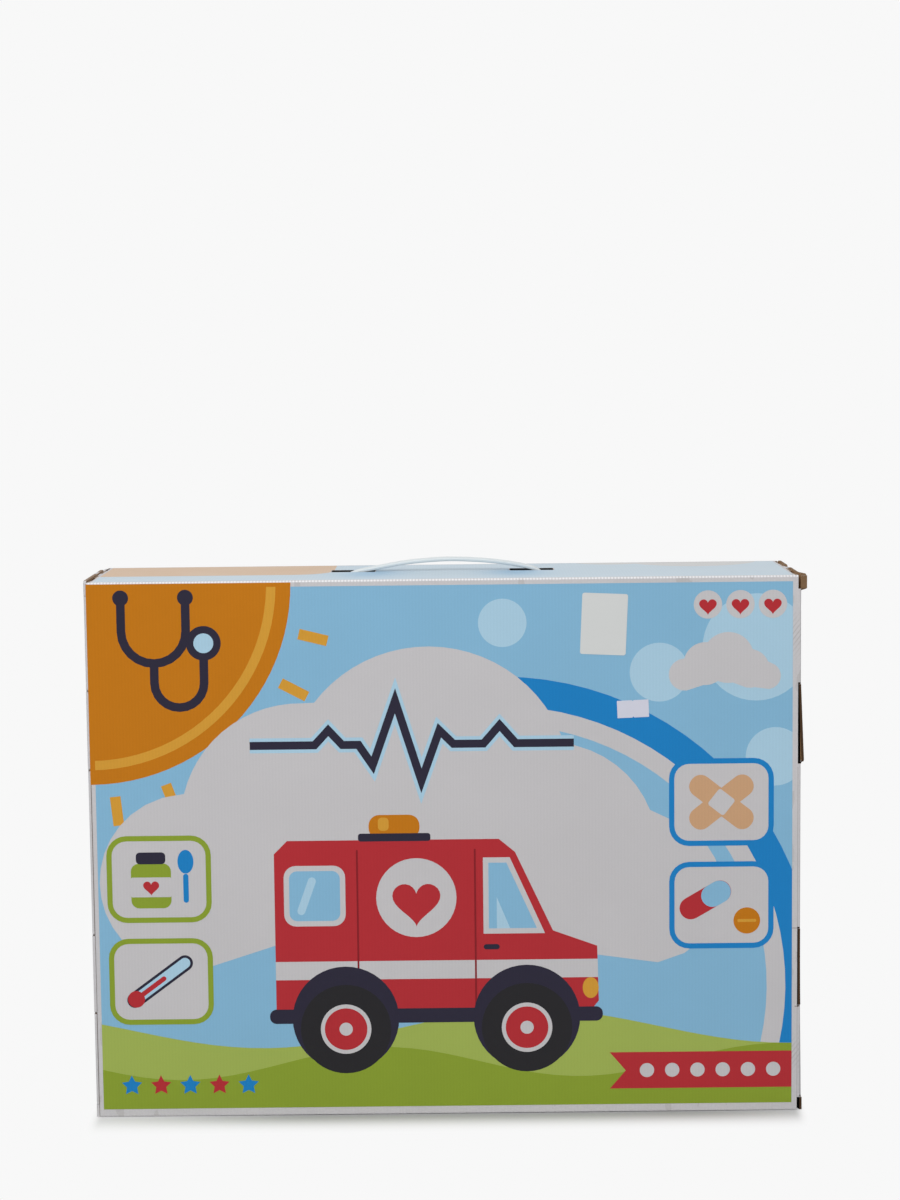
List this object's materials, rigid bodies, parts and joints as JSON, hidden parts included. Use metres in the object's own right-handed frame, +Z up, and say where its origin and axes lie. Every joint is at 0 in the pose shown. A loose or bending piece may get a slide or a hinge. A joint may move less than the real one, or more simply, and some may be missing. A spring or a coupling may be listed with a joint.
{
  "type": "toy doctor case",
  "caption": "Printed corrugated carton with a plastic strap handle on top and a tuck lid hinged at the back, packed with a toy doctor trolley set.",
  "frame": {"origin": "middle of the standing case's footprint, on the floor", "axes": "+X along the case, -Y out of the printed front face, +Z up to the handle"},
  "size_m": [0.53, 0.1222, 0.4169],
  "materials": {
    "printed_board": "printed, satin",
    "plain_board": "raw brown board",
    "strap_plastic": "soft, slightly milky",
    "label_paper": "plain white",
    "red_plastic": "moulded",
    "blue_plastic": "moulded",
    "green_plastic": "moulded",
    "orange_plastic": "moulded",
    "white_plastic": "moulded",
    "black_plastic": "moulded",
    "clear_plastic": "clear",
    "axle_steel": "drawn rod"
  },
  "bodies": {
    "case": {"axle_front": "axle_steel", "axle_rear": "axle_steel", "basket": "green_plastic", "basket_handle_1": "red_plastic", "basket_handle_2": "red_plastic", "bottom_panel": "printed_board", "drip_bottle": "green_plastic", "drip_pole_lower": "white_plastic", "drip_pole_upper": "white_plastic", "dust_flap_bottom_left": "plain_board", "dust_flap_bottom_right": "plain_board", "dust_flap_top_left": "plain_board", "dust_flap_top_right": "plain_board", "end_wall_left": "printed_board", "end_wall_right": "printed_board", "front_panel": "printed_board", "hammer_cap_lower": "green_plastic", "hammer_cap_upper": "green_plastic", "hammer_handle": "orange_plastic", "hammer_head": "white_plastic", "kidney_dish": "orange_plastic", "large_label": "label_paper", "otoscope_cone": "black_plastic", "otoscope_handle": "blue_plastic", "otoscope_head": "green_plastic", "pill_bottle": "white_plastic", "pill_bottle_cap": "green_plastic", "scissor_half_fixed": "white_plastic", "scissor_pin": "orange_plastic", "small_label": "label_paper", "syringe_barrel": "clear_plastic", "thermometer_body": "white_plastic", "thermometer_window": "blue_plastic", "top_panel": "printed_board", "trolley_base": "red_plastic", "trolley_column": "blue_plastic", "trolley_tray": "red_plastic", "viewer_back_cover": "white_plastic", "viewer_control_strip": "blue_plastic", "viewer_frame": "white_plastic", "viewer_screen": "black_plastic", "wheel_1": "black_plastic", "wheel_2": "black_plastic", "wheel_3": "black_plastic", "wheel_4": "black_plastic", "wheel_hub_1": "red_plastic", "wheel_hub_2": "red_plastic", "wheel_hub_3": "red_plastic", "wheel_hub_4": "red_plastic"},
    "lid": {"lid_panel": "printed_board"},
    "tuck": {"tuck_flap": "plain_board"},
    "ear_left": {"lid_ear_left": "plain_board"},
    "ear_right": {"lid_ear_right": "plain_board"},
    "handle": {"carry_handle": "strap_plastic"},
    "plunger": {"syringe_plunger": "green_plastic"},
    "scissor": {"scissor_half_moving": "blue_plastic"},
    "button_round": {"viewer_button_round": "red_plastic"},
    "button_wide": {"viewer_button_wide": "red_plastic"}
  },
  "joints": [
    {"name": "lid_hinge", "type": "hinge", "parent": "case", "child": "lid", "pos_m": [0, 0.061, 0.0004], "axis": [-1, 0, 0], "range_deg": [0, 90]},
    {"name": "tuck_fold", "type": "hinge", "parent": "lid", "child": "tuck", "pos_m": [0, 0.059, 0.4002], "axis": [-1, 0, 0], "range_deg": [0, 98.1]},
    {"name": "ear_left_fold", "type": "hinge", "parent": "lid", "child": "ear_left", "pos_m": [-0.256, 0.059, 0.2], "axis": [0, 0, 1], "range_deg": [0, 85]},
    {"name": "ear_right_fold", "type": "hinge", "parent": "lid", "child": "ear_right", "pos_m": [0.256, 0.059, 0.2], "axis": [0, 0, -1], "range_deg": [0, 85]},
    {"name": "handle_lift", "type": "slide", "parent": "case", "child": "handle", "axis": [0, 0, 1], "range_m": [0, 0.004]},
    {"name": "plunger_push", "type": "slide", "parent": "case", "child": "plunger", "axis": [-1, 0, 0], "range_m": [0, 0.04]},
    {"name": "scissor_open", "type": "hinge", "parent": "case", "child": "scissor", "pos_m": [-0.14, -0.045, 0.293], "axis": [0, 1, 0], "range_deg": [0, 25]},
    {"name": "button_round_press", "type": "slide", "parent": "case", "child": "button_round", "axis": [0, -1, 0], "range_m": [0, 0.0025], "stiffness_N_per_m": 300},
    {"name": "button_wide_press", "type": "slide", "parent": "case", "child": "button_wide", "axis": [0, -1, 0], "range_m": [0, 0.0025], "stiffness_N_per_m": 300}
  ],
  "couplings": [
    {"joint": "tuck_fold", "follows": "lid_hinge", "ratio": 1.0889}
  ]
}
